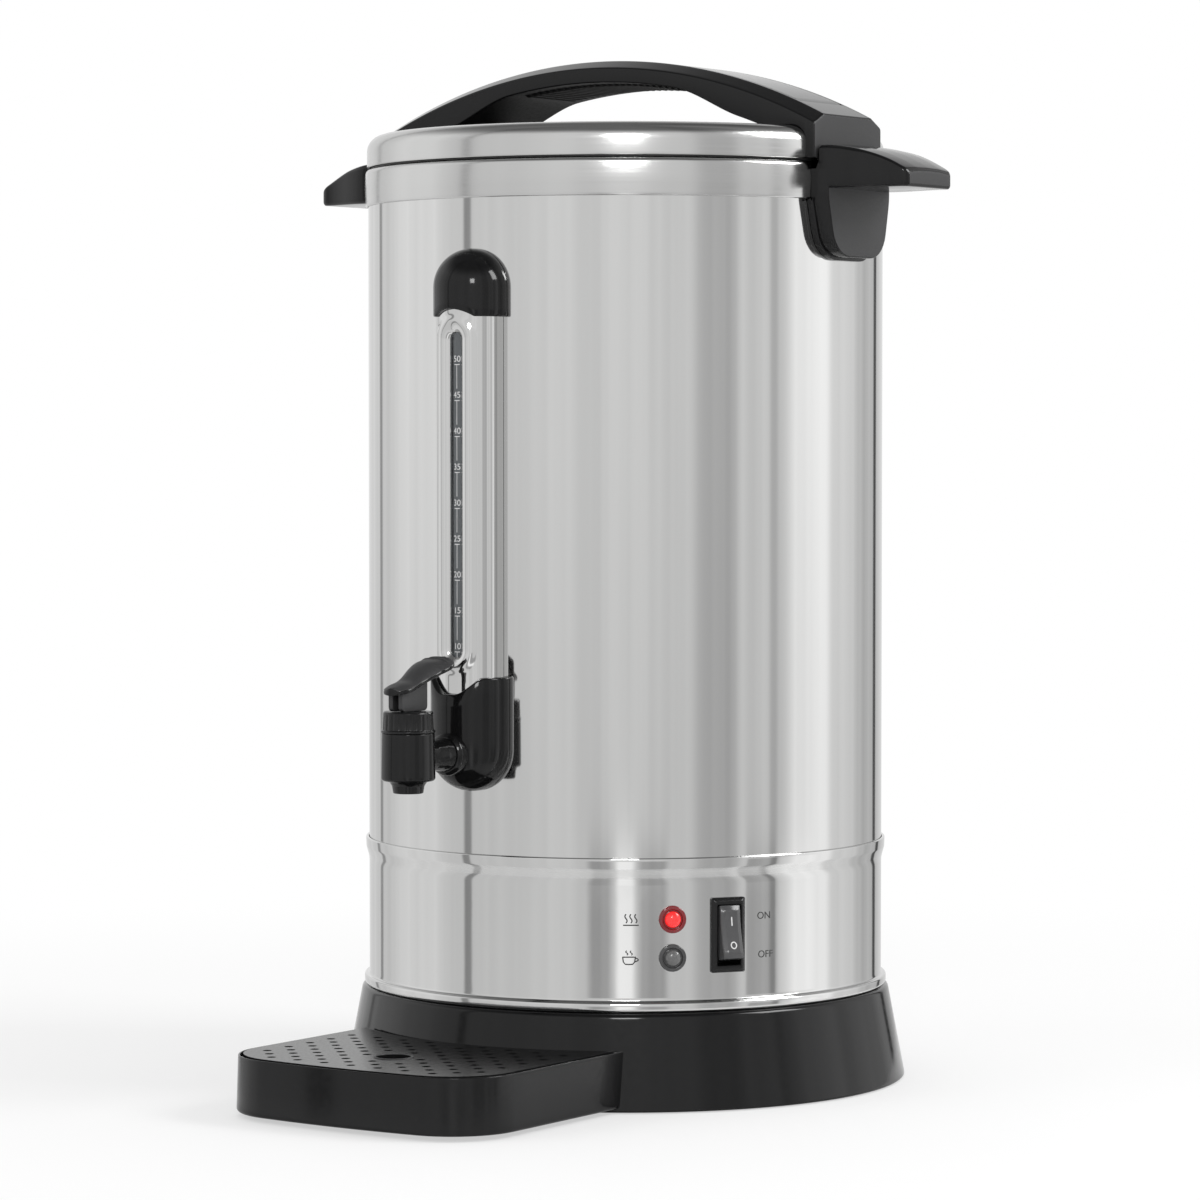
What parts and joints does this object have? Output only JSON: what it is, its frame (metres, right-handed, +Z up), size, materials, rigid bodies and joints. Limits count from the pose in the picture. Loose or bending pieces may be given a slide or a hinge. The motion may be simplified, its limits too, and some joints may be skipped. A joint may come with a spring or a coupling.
{
  "type": "hot water urn",
  "caption": "Cylindrical steel hot water urn on a flared black base, with lift-off lid, gauge tube, lever tap, rocker switch, side handles and drip tray.",
  "frame": {"origin": "on the table, on the axis of the urn's body", "axes": "+Z up along the body's axis; -Y towards the tap, gauge and drip tray; +X to the side of the switch and lamps"},
  "size_m": [0.302, 0.3273, 0.433],
  "materials": {
    "mirror_steel": "mirror polished stainless sheet",
    "satin_steel": "softly polished stainless sheet",
    "gloss_black": "glossy moulded black plastic",
    "matte_black": "fine matte black plastic",
    "rocker_black": "satin black switch plastic",
    "foot_rubber": "matte black rubber",
    "silicone": "milky silicone",
    "gauge_glass": "clear tube that reads dark behind its slot",
    "red_lens": "clear red lamp lens, lit",
    "grey_lens": "milky grey lamp lens, unlit",
    "cast_aluminium": "cast, machined flat",
    "element_steel": "heat-tinted sheath",
    "sensor_plastic": "moulded phenolic",
    "zinc_steel": "zinc plated",
    "ivory_plastic": "moulded ivory",
    "wire_skin": "heat-proof wire insulation"
  },
  "bodies": {
    "urn": {"base_skirt": "gloss_black", "base_plate": "zinc_steel", "rubber_feet": "foot_rubber", "base_screws": "zinc_steel", "cord_gland": "matte_black", "gland_nut": "matte_black", "lower_casing": "mirror_steel", "tank_shell": "mirror_steel", "tank_floor": "satin_steel", "heating_plate": "cast_aluminium", "heating_element": "element_steel", "boil_dry_cutout": "sensor_plastic", "keep_warm_thermostat": "sensor_plastic", "centre_stud": "zinc_steel", "centre_nut": "zinc_steel", "terminal_block": "ivory_plastic", "wire_loom": "wire_skin", "rim_collar": "satin_steel", "handle_right": "gloss_black", "handle_left": "gloss_black", "handle_screws": "zinc_steel", "gauge_guard": "mirror_steel", "gauge_tube": "gauge_glass", "gauge_seals": "silicone", "gauge_cap": "gloss_black", "gauge_pod": "gloss_black", "gauge_vent_screw": "zinc_steel", "tap_body": "gloss_black", "tap_washer": "silicone", "tap_locknut": "matte_black", "tap_bonnet": "gloss_black", "tap_spring": "zinc_steel", "switch_housing": "gloss_black", "heating_lamp": "red_lens", "keep_warm_lamp": "grey_lens", "lamp_clips": "zinc_steel"},
    "lid_ring": {"lid_seal": "silicone"},
    "lid": {"lid_cover": "satin_steel", "lid_pan": "satin_steel", "lid_handle": "gloss_black", "lid_handle_panel": "matte_black", "lid_handle_screws": "zinc_steel"},
    "stem": {"tap_stem": "zinc_steel", "tap_plug": "silicone", "lever_pin": "zinc_steel"},
    "lever": {"tap_lever": "gloss_black"},
    "rocker": {"switch_rocker": "rocker_black"},
    "tray": {"drip_tray": "gloss_black"},
    "grate": {"drip_grate": "matte_black"}
  },
  "joints": [
    {"name": "lid_lift", "type": "slide", "parent": "urn", "child": "lid_ring", "axis": [0, 0, 1], "range_m": [0, 0.12]},
    {"name": "lid_turn", "type": "hinge", "parent": "lid_ring", "child": "lid", "pos_m": [0, 0, 0.3882], "axis": [0, 0, 1], "range_deg": [0, 30]},
    {"name": "lever_press", "type": "hinge", "parent": "stem", "child": "lever", "pos_m": [0, -0.1553, 0.1685], "axis": [-1, 0, 0], "range_deg": [0, 16], "stiffness_Nm_per_rad": 0.3},
    {"name": "stem_lift", "type": "slide", "parent": "urn", "child": "stem", "axis": [0, 0, 1], "range_m": [0, 0.0019], "deforming": ["tap_spring"]},
    {"name": "rocker_tilt", "type": "hinge", "parent": "urn", "child": "rocker", "pos_m": [0.08931, -0.05911, 0.071], "axis": [0.5519, 0.8339, 0], "range_deg": [0, 24]},
    {"name": "tray_pull", "type": "slide", "parent": "urn", "child": "tray", "axis": [0, -1, 0], "range_m": [0, 0.12]},
    {"name": "grate_lift", "type": "slide", "parent": "tray", "child": "grate", "axis": [0, 0, 1], "range_m": [0, 0.05]}
  ],
  "couplings": [
    {"joint": "stem_lift", "follows": "lever_press", "m_per_rad": 0.0064}
  ]
}
